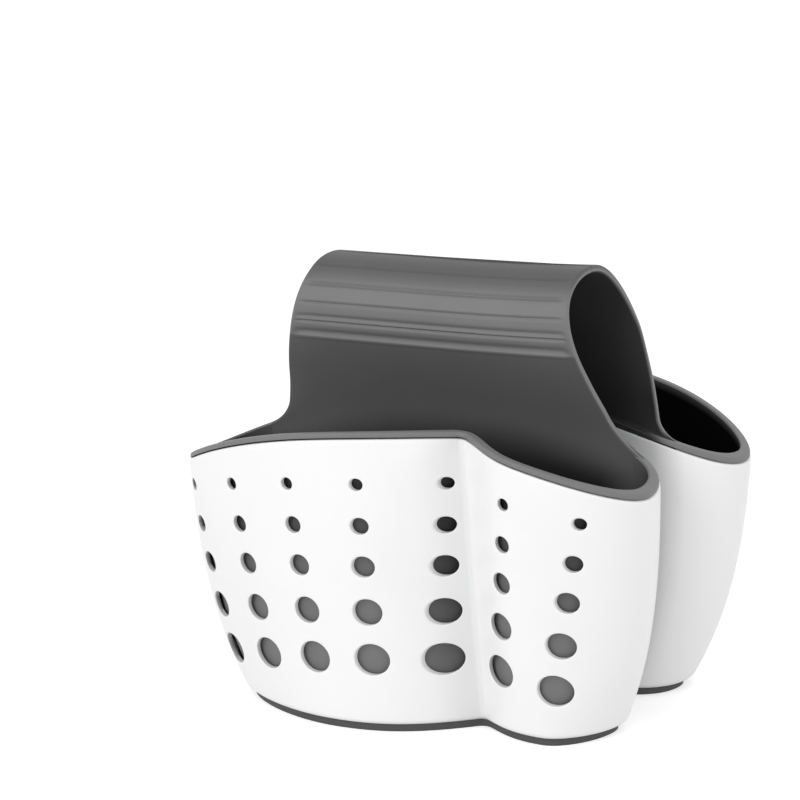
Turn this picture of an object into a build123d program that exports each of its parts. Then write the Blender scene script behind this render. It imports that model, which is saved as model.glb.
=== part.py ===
from build123d import *
import os
from math import cos, radians, sin, sqrt, tan

# Kitchen sink caddy. Two baskets stand back to back, and a soft saddle joins them over the top.
# X runs along the baskets, Y from front to back, Z up. The origin is on the standing surface,
# under the middle of the caddy. Lengths are in millimetres.
# The front basket stands at negative Y. The back basket is the same moulding turned half a turn.

# Heights of a basket
foot_height = 3.0            # soft base pad that shows below the shell
rim_height = 112.7           # top edge of the hard shell, at its middle
rim_radius = 206.0           # the top edge falls away to both ends along this arc
overrun = 12.0               # how far a body runs on before it is cut to its final edge

# Plan of the shell's outer face at the rim and at the foot, measured from the middle of the caddy
rim_half_gap = 9.4           # from the middle to the wall that faces the sink divider
foot_half_gap = 12.6
rim_left_reach = 95.7        # the big lobe's end
foot_left_reach = 75.4
rim_left_depth = 44.2        # where that end is widest
foot_left_depth = 35.5
rim_big_front = 87.0         # the big lobe's front
foot_big_front = 69.7
rim_big_front_x = -27.0
foot_big_front_x = -23.2
rim_crease_x = 24.1          # the vertical crease between the two lobes
foot_crease_x = 26.6
rim_crease_depth = 59.8
foot_crease_depth = 44.3
rim_small_front = 76.7       # the small lobe's front
foot_small_front = 55.0
rim_small_front_x = 51.9
foot_small_front_x = 53.7
rim_right_reach = 89.3       # the small lobe's end
foot_right_reach = 73.2
rim_right_depth = 44.0
foot_right_depth = 26.0
rim_left_corner = 42.8       # how long the corners at the divider wall are
foot_left_corner = 24.3
rim_right_corner = 25.2
foot_right_corner = 17.4
big_flank_angle = 47.0       # how steeply the lobes run into the crease, in degrees
small_flank_angle = 34.5
crease_radius = 2.0
base_edge_radius = 2.0       # rounding where the shell turns under
inner_edge_radius = 1.2      # the same inside the shell, and on the liner

# Fullness of the plan curves: handle length as a share of the stretch that it rounds
rim_front_share = 0.53
foot_front_share = 0.46
corner_share = 0.6
lobe_handle_share = 0.42
flank_handle_share = 0.3

# How the plan narrows with depth below the rim: powers of the share of the height
depth_power_share = 1.14     # fronts, crease and corners
reach_power_share = 3.14     # the two ends stay full and turn in low down
section_shares = (0.95, 0.8, 0.63, 0.46, 0.31, 0.2, 0.12)
edge_section_shares = (1.0, 0.5, 0.14, 0.0)
collar_section_shares = (0.95, 0.8, 0.63)    # those that the rim's collar needs

# Walls
shell_wall = 2.3
liner_gap = 0.2              # running clearance between the hard shell and the soft liner
liner_wall = 2.0
floor_wall = 2.5
lip_height = 2.4
lip_overlap = 0.5            # the lip's outer face stands this far in from the shell's outer face
lip_shadow_gap = 0.4         # fine gap under the lip
pad_inset = 1.9              # the base pad stands in from the shell's outer face
ledge_width = 6.0            # the shell's floor is a ledge of this width round an opening

# Round holes in the shell's front, on a grid that narrows and grows downwards
hole_column_count = 7
left_hole_margin = 9.05      # from the rim's left and right ends to the top row's last holes
right_hole_margin = 16.95
hole_diameters = (4.6, 6.3, 8.0, 10.2, 12.3)
hole_height_shares = (0.8518, 0.7134, 0.5759, 0.4206, 0.2564)
hole_row_shares = (1.0, 0.962, 0.924, 0.88, 0.835)
hole_row_radius = 300.0      # each row of holes falls away to both ends along this arc
hole_reach = 36.0            # the drills stop this far from the middle, short of the divider wall

# Drain holes through the liner's floor and the base pad
drain_diameter = 6.0
drain_rows = {                # distance from the middle of the caddy, and the holes' places along X
    27.0: (-45.0, -30.0, -15.0, 0.0, 15.0, 30.0, 45.0),
    41.0: (-45.0, -30.0, -15.0, 0.0, 52.0),
    54.0: (-30.0, -15.0),
}

# Saddle: a soft band, seen from the end as a teardrop loop that leans forward
saddle_wall = 2.8
leg_sink = 14.7              # the legs start this far below the middle of the rim
leg_overlap = 0.4            # and this far inside the liner's wall
rib_rise = 25.7              # from the rim up to the lowest rib
loop_height = 29.8           # from the lowest rib up to the crest
crest_y = -6.0
front_bulge_y = -31.2
back_bulge_y = 24.3
front_bulge_rise = 12.1      # where the loop is widest, above the lowest rib
back_bulge_rise = 7.6
front_leg_lean = 3.0         # how far each leg leans from upright at its foot, in degrees
back_leg_lean = 1.0

# Fullness of the loop's curves, as for the plan
crest_front_share = 0.6
crest_back_share = 0.55
front_bulge_low_share = 0.27
front_leg_high_share = 0.42
back_bulge_low_share = 0.26
back_leg_high_share = 0.8

# Each leg's root on the side of the divider: it is thicker there, so that it covers the lip
root_setback = 0.6           # it starts this far in from the lip's outer face
front_root_lean = 0.5
front_root_out_share = 0.5
front_root_in_share = 0.35
back_root_lean = 1.0
back_root_out_share = 0.5
back_root_in_share = 0.23

# Saddle's front half seen from the front: how far it reaches to the left and to the right
crest_reach = 53.7
shoulder_rise = 23.6         # the shoulder's height above the lowest rib
shoulder_left_reach = 54.9
shoulder_right_reach = 54.0
rib_left_reach = 62.0
rib_right_reach = 55.4
leg_left_reach = 72.0        # where the legs begin to flare into the lip
leg_right_reach = 60.6
left_flare_rise = -3.7       # that place's height above the rim
right_flare_rise = 2.8
left_flare_reach = 7.5
right_flare_reach = 12.5
flare_share = 0.5            # fullness of the flare
flare_sink = 0.4             # its tip ends this far under the lip's top

# Flex lines, and the grooves between ribs: their heights on the front above the lowest rib, which
# is the lower flex line
upper_flex_rise = 22.4
groove_rises = (26.2, 20.2, 13.6, 6.8)
back_drop = 2.2              # they lie this much lower on the back
search_steps = 30            # halvings in the search for the place at a height
knuckle_clearance = 0.3
groove_radius = 0.6

parts_folder = "parts"


def blend(rim_size, foot_size, share):
    """Size between the rim's and the foot's."""
    return rim_size + (foot_size - rim_size) * share


def arc_share(turn):
    """Handle of a curve that turns by this angle, as a share of the radius of an arc."""
    return 4 / 3 * tan(radians(turn) / 4)


# One basket's body
def plan(height):
    """Corners of the plan outline, with the direction of travel and the handles between them."""
    depth = (rim_height - height) / rim_height
    share = depth if depth < 0 else depth ** depth_power_share
    end_share = max(depth, 0) ** reach_power_share
    gap = blend(rim_half_gap, foot_half_gap, share)
    left = blend(rim_left_reach, foot_left_reach, end_share)
    left_depth = blend(rim_left_depth, foot_left_depth, share)
    right = blend(rim_right_reach, foot_right_reach, end_share)
    right_depth = blend(rim_right_depth, foot_right_depth, share)
    big_x = blend(rim_big_front_x, foot_big_front_x, share)
    big = blend(rim_big_front, foot_big_front, share)
    small_x = blend(rim_small_front_x, foot_small_front_x, share)
    small = blend(rim_small_front, foot_small_front, share)
    crease_x = blend(rim_crease_x, foot_crease_x, share)
    crease_y = blend(rim_crease_depth, foot_crease_depth, share)
    left_corner = blend(rim_left_corner, foot_left_corner, share)
    right_corner = blend(rim_right_corner, foot_right_corner, share)
    front = blend(rim_front_share, foot_front_share, share)
    crease_turn = big_flank_angle + small_flank_angle
    cut_back = crease_radius * tan(radians(crease_turn) / 2)
    crease_handle = crease_radius * arc_share(crease_turn)
    big_run = crease_x - big_x
    small_run = small_x - crease_x
    big_flank = flank_handle_share * big_run / cos(radians(big_flank_angle))
    small_flank = flank_handle_share * small_run / cos(radians(small_flank_angle))
    before = (
        crease_x - cut_back * cos(radians(big_flank_angle)),
        -crease_y - cut_back * sin(radians(big_flank_angle)),
    )
    after = (
        crease_x + cut_back * cos(radians(small_flank_angle)),
        -crease_y - cut_back * sin(radians(small_flank_angle)),
    )
    # Each entry: point, direction of travel in degrees, handle out of it, turn, handle into the next
    return [
        ((right - right_corner, -gap), 180, None, 0, None),
        ((left_corner - left, -gap), 180, corner_share * left_corner, 90,
         corner_share * (left_depth - gap)),
        ((-left, -left_depth), 270, front * (big - left_depth), 90, front * (big_x + left)),
        ((big_x, -big), 360, lobe_handle_share * big_run, big_flank_angle, big_flank),
        (before, 360 + big_flank_angle, crease_handle, -crease_turn, crease_handle),
        (after, 360 - small_flank_angle, small_flank, small_flank_angle,
         lobe_handle_share * small_run),
        ((small_x, -small), 360, front * (right - small_x), 90, front * (small - right_depth)),
        ((right, -right_depth), 450, corner_share * (right_depth - gap), 90,
         corner_share * right_corner),
    ]


def outline(height, inset):
    """Closed face of the plan at a height. An inset moves each point along its inward normal, and
    shortens each handle as it would shorten an arc's."""
    corners = plan(height)
    edges = []
    for index, (start, heading, handle_out, turn, handle_in) in enumerate(corners):
        end, end_heading = corners[(index + 1) % len(corners)][:2]
        towards = Vector(1, 0).rotate(Axis.Z, heading)
        arriving = Vector(1, 0).rotate(Axis.Z, end_heading)
        first = Vector(*start, height) + towards.rotate(Axis.Z, 90) * inset
        last = Vector(*end, height) + arriving.rotate(Axis.Z, 90) * inset
        if handle_out is None:
            edges.append(Line(first, last))
            continue
        trim = inset * arc_share(turn)
        edges.append(Bezier(
            first,
            first + towards * (handle_out - trim),
            last - arriving * (handle_in - trim),
            last,
        ))
    return make_face(edges)


def body(inset, base, edge_radius):
    """Solid inside the plan outlines, set in by an inset, from a base with a rounded edge."""
    heights = [rim_height + overrun]
    heights += [share * rim_height for share in section_shares if share * rim_height > base + edge_radius]
    faces = [outline(height, inset) for height in heights]
    for share in edge_section_shares:
        rise = share * edge_radius
        rounding = edge_radius - sqrt(edge_radius ** 2 - (edge_radius - rise) ** 2)
        faces.append(outline(base + rise, inset + rounding))
    return loft(faces[::-1])


def collar(inset):
    """Upper part of the body inside the plan outlines, from the lowest section that the rim needs."""
    heights = [rim_height + overrun]
    heights += [share * rim_height for share in collar_section_shares]
    return loft([outline(height, inset) for height in heights[::-1]])


def under_arc(offset):
    """Everything below the rim's arc, moved outwards by an offset."""
    length = 4 * (rim_big_front + overrun)
    drum = Cylinder(rim_radius + offset, length, rotation=(90, 0, 0))
    return Pos(0, 0, rim_height - rim_radius) * drum


def row_drop(x):
    """How far a row of holes has fallen at a distance from the middle."""
    return hole_row_radius - sqrt(hole_row_radius ** 2 - x ** 2)


def front_drills():
    """Round drills along Y for the grid of holes in the shell's front."""
    length = rim_big_front + overrun - hole_reach
    middle = -(hole_reach + length / 2)
    first = left_hole_margin - rim_left_reach
    last = rim_right_reach - right_hole_margin
    drills = []
    for diameter, level, share in zip(hole_diameters, hole_height_shares, hole_row_shares):
        for column in range(hole_column_count):
            x = share * blend(first, last, column / (hole_column_count - 1))
            drill = Cylinder(diameter / 2, length, rotation=(90, 0, 0))
            drills.append(Pos(x, middle, level * rim_height - row_drop(x)) * drill)
    return drills


def drain_drills():
    """Upright drills for the drain holes in the floor."""
    length = foot_height + shell_wall + floor_wall + overrun
    drills = []
    for depth, places in drain_rows.items():
        for x in places:
            drills.append(Pos(x, -depth, 0) * Cylinder(drain_diameter / 2, length))
    return drills


shell_floor_top = foot_height + shell_wall
liner_base = shell_floor_top + liner_gap
liner_inset = shell_wall + liner_gap
cup_inset = liner_inset + liner_wall
cup_base = liner_base + floor_wall


def make_shell():
    """Hard shell: outer body less its cavity, open on top along the arc, with a ledge for a floor."""
    shell = body(0, foot_height, base_edge_radius) & under_arc(0)
    shell -= body(shell_wall, shell_floor_top, inner_edge_radius)
    opening = extrude(outline(foot_height, shell_wall + ledge_width), amount=overrun, both=True)
    shell -= opening
    return shell - front_drills()


def make_liner():
    """Soft cup inside the shell. Its lip covers the shell's top edge and has rounded edges."""
    cup = body(liner_inset, liner_base, inner_edge_radius) & under_arc(lip_height)
    lip = collar(lip_overlap) & under_arc(lip_height)
    lip -= under_arc(lip_shadow_gap)
    liner = cup + lip - body(cup_inset, cup_base, inner_edge_radius)
    return liner - drain_drills()


def make_foot_pad():
    """Soft base pad under the shell. Its plug fills the opening in the ledge, up to the liner."""
    pad = extrude(outline(0, pad_inset), amount=foot_height)
    plug = extrude(outline(foot_height, shell_wall + ledge_width + liner_gap), amount=shell_wall + liner_gap)
    return pad + plug - drain_drills()


# Saddle
leg_foot_height = rim_height - leg_sink
shoulder_height = rim_height + rib_rise + shoulder_rise
rib_height = rim_height + rib_rise
saddle_height = rib_height + loop_height
front_bulge_height = rib_height + front_bulge_rise
back_bulge_height = rib_height + back_bulge_rise


def loop_curves(inset):
    """End view of the loop, from the front leg's foot over the crest to the back leg's foot."""
    foot_y = cup_inset + rim_half_gap - leg_overlap
    front_rise = front_bulge_height - leg_foot_height
    back_rise = back_bulge_height - leg_foot_height
    points = [
        (Vector(0, -foot_y, leg_foot_height), 90 + front_leg_lean),
        (Vector(0, front_bulge_y, front_bulge_height), 90),
        (Vector(0, crest_y, saddle_height), 0),
        (Vector(0, back_bulge_y, back_bulge_height), -90),
        (Vector(0, foot_y, leg_foot_height), -90 - back_leg_lean),
    ]
    handles = [
        (front_leg_high_share * front_rise, front_bulge_low_share * front_rise),
        (crest_front_share * (saddle_height - front_bulge_height),
         crest_front_share * (crest_y - front_bulge_y)),
        (crest_back_share * (back_bulge_y - crest_y),
         crest_back_share * (saddle_height - back_bulge_height)),
        (back_bulge_low_share * back_rise, back_leg_high_share * back_rise),
    ]
    edges = []
    for (start, heading), (end, end_heading), (out, into) in zip(points, points[1:], handles):
        towards = Vector(0, 1, 0).rotate(Axis.X, heading)
        arriving = Vector(0, 1, 0).rotate(Axis.X, end_heading)
        first = start + towards.rotate(Axis.X, -90) * inset
        last = end + arriving.rotate(Axis.X, -90) * inset
        trim = inset * arc_share(heading - end_heading)
        edges.append(Bezier(first, first + towards * (out - trim), last - arriving * (into - trim), last))
    return edges


def flare(side, edge_reach, rise, reach):
    """Lower edge of a leg: it leaves the upright edge and runs out along the lip's top."""
    start = Vector(side * edge_reach, rim_height + rise)
    end_x = edge_reach + reach
    lip_radius = rim_radius + lip_height
    slope = sqrt(1 - (end_x / lip_radius) ** 2)
    end = Vector(side * end_x, rim_height - rim_radius + lip_radius * slope - flare_sink)
    fall = flare_share * (start.Y - end.Y)
    along = Vector(-side * slope, end_x / lip_radius)
    return Bezier(start, start - Vector(0, fall), end + along * (flare_share * reach), end)


def front_view():
    """The saddle's outline seen from the front, as a solid that runs through the whole depth."""
    top = saddle_height + overrun
    right = flare(1, leg_right_reach, right_flare_rise, right_flare_reach)
    left = flare(-1, leg_left_reach, left_flare_rise, left_flare_reach)
    right_foot = right @ 1
    left_foot = left @ 1
    edges = [
        right,
        left,
        Polyline(
            right @ 0,
            (rib_right_reach, rib_height),
            (shoulder_right_reach, shoulder_height),
            (crest_reach, saddle_height),
            (crest_reach, top),
            (-crest_reach, top),
            (-crest_reach, saddle_height),
            (-shoulder_left_reach, shoulder_height),
            (-rib_left_reach, rib_height),
            left @ 0,
        ),
        Polyline(
            right_foot,
            (right_foot.X, leg_foot_height - overrun),
            (left_foot.X, leg_foot_height - overrun),
            left_foot,
        ),
    ]
    face = Plane.XZ * make_face(edges)
    return extrude(face, amount=rim_big_front, both=True)


def reach_box():
    """Edge length of a block that covers the whole saddle."""
    return 2 * (saddle_height + overrun)


def beyond(point, direction):
    """Everything on one side of a plane across the band."""
    size = reach_box()
    return Plane(point, x_dir=(1, 0, 0), z_dir=direction) * Pos(0, 0, size / 2) * Box(size, size, size)


def rod(point, radius):
    """Round bar along X through a point of the loop."""
    return Pos(*point) * Cylinder(radius, reach_box(), rotation=(0, 90, 0))


def place(curves, half, height):
    """Point of the loop at a height on one half, and the direction that leads up to the crest."""
    lower, upper = (curves[0], curves[1]) if half == "front" else (curves[3], curves[2])
    bulge_height = (lower @ (1 if half == "front" else 0)).Z
    curve = upper if height > bulge_height else lower
    low, high = (0, 1) if half == "front" else (1, 0)
    for step in range(search_steps):
        share = (low + high) / 2
        if (curve @ share).Z < height:
            low = share
        else:
            high = share
    return curve @ share, (curve % share) * (1 if half == "front" else -1)


middle_curves = loop_curves(saddle_wall / 2)
outer_curves = loop_curves(0)
drops = {"front": 0, "back": back_drop}
flex_heights = {"upper": rib_height + upper_flex_rise, "lower": rib_height}
flex_lines = {
    (half, level): place(middle_curves, half, height - drop)
    for half, drop in drops.items()
    for level, height in flex_heights.items()
}


def groove_points():
    """Where the grooves run along the outer face."""
    return [
        place(outer_curves, half, rib_height + rise - drop)[0]
        for half, drop in drops.items()
        for rise in groove_rises
    ]


def root_curves():
    """The two legs' faces on the side of the divider, from the front root and to the back root."""
    root_y = rim_half_gap + lip_overlap + root_setback
    faces = []
    for side, bulge_y, bulge_height, lean, out_share, in_share in (
        (-1, front_bulge_y, front_bulge_height, front_root_lean, front_root_out_share,
         front_root_in_share),
        (1, back_bulge_y, back_bulge_height, back_root_lean, back_root_out_share,
         back_root_in_share),
    ):
        rise = bulge_height - leg_foot_height
        root = Vector(0, side * root_y, leg_foot_height)
        bulge = Vector(0, bulge_y - side * saddle_wall, bulge_height)
        leaning = Vector(0, side * sin(radians(lean)), cos(radians(lean)))
        out = root + leaning * (out_share * rise)
        into = bulge - Vector(0, 0, in_share * rise)
        points = (root, out, into, bulge) if side < 0 else (bulge, into, out, root)
        faces.append(Bezier(*points))
    return faces


def make_band():
    """Whole loop as front and back halves, each cut to its own front view."""
    front_root, back_root = root_curves()
    inner = [front_root] + loop_curves(saddle_wall)[1:-1] + [back_root]
    edges = outer_curves + inner
    edges.append(Line(outer_curves[0] @ 0, inner[0] @ 0))
    edges.append(Line(outer_curves[-1] @ 1, inner[-1] @ 1))
    band = extrude(make_face(edges), amount=reach_box() / 2, both=True)
    band -= [rod(point, groove_radius) for point in groove_points()]
    crest = (0, crest_y, 0)
    front = band & beyond(crest, (0, -1, 0)) & front_view()
    back = band & beyond(crest, (0, 1, 0)) & front_view().rotate(Axis.Z, 180)
    return front, back


def knuckle(half, line):
    """Rounded end of a piece of the band at a flex line."""
    point, up = flex_lines[half, line]
    return rod(point, saddle_wall / 2) & front_block(half)


def front_block(half):
    """The front view that a half of the band is cut to."""
    return front_view() if half == "front" else front_view().rotate(Axis.Z, 180)


def make_saddle():
    """Crest, flex bands and legs. Each flex line is a rounded end that turns in a hollow one. The
    legs stand on the lips, and reach a little way down inside the liners."""
    front, back = make_band()
    halves = {"front": front, "back": back}
    wall = under_arc(lip_height) - body(cup_inset, cup_base, inner_edge_radius)
    walls = {"front": wall, "back": wall.rotate(Axis.Z, 180)}
    socket = saddle_wall / 2 + knuckle_clearance
    pieces = {}
    crest = front + back
    for half, band in halves.items():
        upper, upper_up = flex_lines[half, "upper"]
        lower, lower_up = flex_lines[half, "lower"]
        crest &= beyond(upper, upper_up)
        flex = band & beyond(upper, -upper_up) & beyond(lower, lower_up)
        flex -= rod(upper, socket)
        pieces[half + "_flex_band"] = flex + knuckle(half, "lower")
        leg = band & beyond(lower, -lower_up)
        pieces[half + "_saddle_leg"] = leg - rod(lower, socket) - walls[half]
    for half in halves:
        crest += knuckle(half, "upper")
    pieces["saddle_crest"] = crest
    return pieces


def main():
    """Build each sub-part and write it to its own file."""
    pieces = make_saddle()
    basket = {"shell": make_shell(), "liner": make_liner(), "foot_pad": make_foot_pad()}
    for name, piece in basket.items():
        pieces["front_" + name] = piece
        pieces["back_" + name] = piece.rotate(Axis.Z, 180)
    os.makedirs(parts_folder, exist_ok=True)
    for name, piece in pieces.items():
        export_step(piece, os.path.join(parts_folder, name + ".step"))


main()
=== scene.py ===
"""Looks of a kitchen sink saddle caddy.

Two deep baskets stand back to back. Each is a hard white shell with a grid of round holes over a
soft grey cup, and one wide ribbed saddle of the same soft material joins the two. Lengths inside
the classes are millimetres, in the frame's axes: X along the baskets, Y to the back, Z up.
"""

from __future__ import annotations

import logging
from dataclasses import dataclass, field
from enum import Enum, IntEnum
from typing import Any, Callable, Sequence

import bmesh
import bpy
import numpy as np
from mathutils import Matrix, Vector
from mathutils.geometry import delaunay_2d_cdt

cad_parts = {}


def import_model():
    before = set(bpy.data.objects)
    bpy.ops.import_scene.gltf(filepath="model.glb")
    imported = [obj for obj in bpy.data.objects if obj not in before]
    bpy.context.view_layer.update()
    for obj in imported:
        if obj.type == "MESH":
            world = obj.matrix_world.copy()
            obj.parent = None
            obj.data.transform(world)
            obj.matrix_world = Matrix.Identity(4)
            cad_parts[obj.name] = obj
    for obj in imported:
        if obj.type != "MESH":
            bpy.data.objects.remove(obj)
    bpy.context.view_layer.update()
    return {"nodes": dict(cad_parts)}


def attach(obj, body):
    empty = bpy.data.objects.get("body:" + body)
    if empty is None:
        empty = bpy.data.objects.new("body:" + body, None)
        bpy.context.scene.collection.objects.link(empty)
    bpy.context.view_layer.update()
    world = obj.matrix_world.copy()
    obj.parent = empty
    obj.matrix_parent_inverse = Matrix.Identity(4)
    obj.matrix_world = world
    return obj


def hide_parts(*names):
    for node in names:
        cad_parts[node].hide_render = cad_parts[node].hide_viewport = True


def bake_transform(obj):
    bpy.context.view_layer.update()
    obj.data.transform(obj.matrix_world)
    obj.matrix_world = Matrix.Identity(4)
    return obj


Array = np.ndarray
MM = 0.001
METRE = 1000.0               # millimetres in a metre: a noise of scale 1 has a period of a metre
LOG = logging.getLogger("caddy")
MERGE_DISTANCE = 2e-6        # metres: grids that share an edge are joined within this
SLIVER_LENGTH = 1e-7         # metres: edges shorter than this are closed up
WHOLE_OUTLINE = 4            # delaunay_2d_cdt's output: all inside the outline, holes as well
CLOSE_POINTS = 1e-4          # millimetres: points nearer than this are one to it


class Side(Enum):
    """The two baskets. The back one is the front one turned half a turn about Z."""

    FRONT = 1.0
    BACK = -1.0

    @property
    def word(self) -> str:
        """The side as the nodes' names write it."""
        return self.name.lower()


class Finish(IntEnum):
    """Places of a soft piece's finishes in the list that it gets."""

    BROAD = 0
    # lighter colour on lips and edges: a painted highlight
    EDGE = 1
    # paler colour: light from above, painted on the ribs and on the liner's outer wall
    RIBBED = 2                   # the liner's outer wall has it as well
    # little gloss, with a near-black shade colour: painted shade deep in the cups
    INSIDE = 3                   # liners only


def linear(code: str) -> tuple[float, float, float, float]:
    """Turn an sRGB hex colour into linear light.

    Args:
        code: Colour as "#RRGGBB".

    Returns:
        Linear red, green and blue, with an alpha of 1.
    """
    values = np.array([int(code[i:i + 2], 16) for i in (1, 3, 5)]) / 255.0
    low = values / 12.92
    high = ((values + 0.055) / 1.055) ** 2.4
    red, green, blue = np.where(values <= 0.04045, low, high)
    return float(red), float(green), float(blue), 1.0


def add_node(tree: bpy.types.NodeTree, kind: str, links: dict[Any, Any] | None = None,
             **settings: Any) -> bpy.types.Node:
    """Add one node with its settings and links.

    Args:
        tree: Node tree that gets the node.
        kind: Node type, such as "ShaderNodeTexNoise".
        links: Input name or number to an output socket, or to a plain value.
        **settings: Attributes of the node itself.

    Returns:
        The new node.
    """
    node = tree.nodes.new(kind)
    for name, value in settings.items():
        setattr(node, name, value)
    for name, value in (links or {}).items():
        if isinstance(value, bpy.types.NodeSocket):
            tree.links.new(value, node.inputs[name])
        else:
            node.inputs[name].default_value = value
    return node


def blank_material(name: str) -> tuple[bpy.types.Material, bpy.types.NodeTree]:
    """Make a material with an empty node tree.

    Args:
        name: The material's name.

    Returns:
        The material and its node tree.
    """
    material = bpy.data.materials.new(name)
    material.use_nodes = True
    material.node_tree.nodes.clear()
    return material, material.node_tree


def add_object(name: str, data: bpy.types.ID) -> bpy.types.Object:
    """Put an object into the scene.

    Args:
        name: The object's name.
        data: Its mesh, camera or lamp.

    Returns:
        The new object, at the origin.
    """
    made = bpy.data.objects.new(name, data)
    bpy.context.scene.collection.objects.link(made)
    return made


def soft_step(value: Array, low: float, high: float) -> Array:
    """Smooth step: 0 up to low, 1 from high on, and 3t^2 - 2t^3 between."""
    t = np.clip((value - low) / (high - low), 0, 1)
    return t * t * (3 - 2 * t)


def plateau(value: Array, rise: tuple[float, float], fall: tuple[float, float]) -> Array:
    """Smooth steps up over rise and down again over fall, 1 between them."""
    return soft_step(value, *rise) * (1 - soft_step(value, *fall))


def bezier(a: Array, b: Array, c: Array, d: Array, t: Array) -> Array:
    """Cubic Bezier: a (1 - t)^3 + 3 b t (1 - t)^2 + 3 c t^2 (1 - t) + d t^3."""
    return a * (1 - t) ** 3 + 3 * b * t * (1 - t) ** 2 + 3 * c * t ** 2 * (1 - t) + d * t ** 3


def catmull_rom(a: Array, b: Array, c: Array, d: Array, t: Array) -> Array:
    """Curve from b to c: b + t(c-a)/2 + t^2(2a-5b+4c-d)/2 + t^3(3b-a-3c+d)/2."""
    cubic, square = 3 * b - a - 3 * c + d, 2 * a - 5 * b + 4 * c - d
    return t ** 3 * cubic / 2 + t ** 2 * square / 2 + t * (c - a) / 2 + b


@dataclass(frozen=True)
class Moulding:
    """What the caddy's two injection-moulded materials share.

    A slow noise changes the tone, a fine one gives the grain its gloss and bump, and the mesh's
    own shade attribute mixes the colour towards its shade.
    """

    name: str
    colour: str
    other_colour: str            # the far end of the slow change of tone
    shade_colour: str
    roughness: float
    roughness_spread: float
    specular: float
    ior: float
    tone_mm: float
    grain_mm: float
    grain_height_mm: float
    grain_strength: float
    noise_detail: float
    grain_span: tuple[float, float] = (0.3, 0.7)     # the noise's values that gloss spreads over

    def build(self) -> bpy.types.Material:
        """Build the node material.

        Returns:
            The new material.
        """
        material, tree = blank_material(self.name)
        place = add_node(tree, "ShaderNodeTexCoord").outputs["Object"]
        slow, grain = (
            add_node(tree, "ShaderNodeTexNoise",
                     {"Vector": place, "Scale": METRE / period, "Detail": self.noise_detail})
            for period in (self.tone_mm, self.grain_mm))
        tone = add_node(tree, "ShaderNodeMix",
                        {"Factor": slow.outputs["Fac"], "A": linear(self.colour),
                         "B": linear(self.other_colour)}, data_type="RGBA")
        gloss = add_node(tree, "ShaderNodeMapRange",
                         {"Value": grain.outputs["Fac"],
                          "From Min": self.grain_span[0], "From Max": self.grain_span[1],
                          "To Min": self.roughness - self.roughness_spread / 2,
                          "To Max": self.roughness + self.roughness_spread / 2})
        bump = add_node(tree, "ShaderNodeBump",
                        {"Height": grain.outputs["Fac"], "Strength": self.grain_strength,
                         "Distance": self.grain_height_mm * MM})
        amount = add_node(tree, "ShaderNodeAttribute", attribute_name="shade")
        shaded = add_node(tree, "ShaderNodeMix",
                          {"Factor": amount.outputs["Fac"], "A": tone.outputs["Result"],
                           "B": linear(self.shade_colour)}, data_type="RGBA")
        shader = add_node(tree, "ShaderNodeBsdfPrincipled",
                          {"Base Color": shaded.outputs["Result"],
                           "Roughness": gloss.outputs["Result"],
                           "Normal": bump.outputs["Normal"], "IOR": self.ior,
                           "Specular IOR Level": self.specular})
        add_node(tree, "ShaderNodeOutputMaterial", {"Surface": shader.outputs["BSDF"]})
        return material


@dataclass(frozen=True)
class SatinPolypropylene(Moulding):
    """Injection-moulded white polypropylene.

    It has a soft satin gloss, and a very fine spark-eroded grain that breaks up reflections.
    """

    name: str = "moulded_polypropylene_white"
    colour: str = "#F6F6F6"
    other_colour: str = "#F1F1F1"
    shade_colour: str = "#9A9B9D"    # in the narrow gap between the baskets
    roughness: float = 0.38
    roughness_spread: float = 0.08
    specular: float = 0.5
    ior: float = 1.49
    tone_mm: float = 38.0        # slow change of tone where the plastic flowed in the mould
    grain_mm: float = 0.5        # real grain is about 0.1 mm, drawn coarser so that it shows
    grain_height_mm: float = 0.006
    grain_strength: float = 0.35
    noise_detail: float = 2.0


@dataclass(frozen=True)
class MouldedRubber(Moulding):
    """Injection-moulded thermoplastic rubber.

    It is matte and slightly velvety at glancing angles, with a fine grain and a faint bloom.
    """

    name: str = "moulded_rubber_grey"
    colour: str = "#575757"
    other_colour: str = "#5D5D5D"
    shade_colour: str = "#0D0D0D"    # deep inside the cups and the loop
    roughness: float = 0.62
    roughness_spread: float = 0.1
    specular: float = 0.35
    ior: float = 1.5
    tone_mm: float = 22.0        # cloudy bloom that rises to the surface
    grain_mm: float = 0.6        # real grain is about 0.15 mm, drawn coarser so that it shows
    grain_height_mm: float = 0.02
    grain_strength: float = 0.5
    noise_detail: float = 3.0


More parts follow.
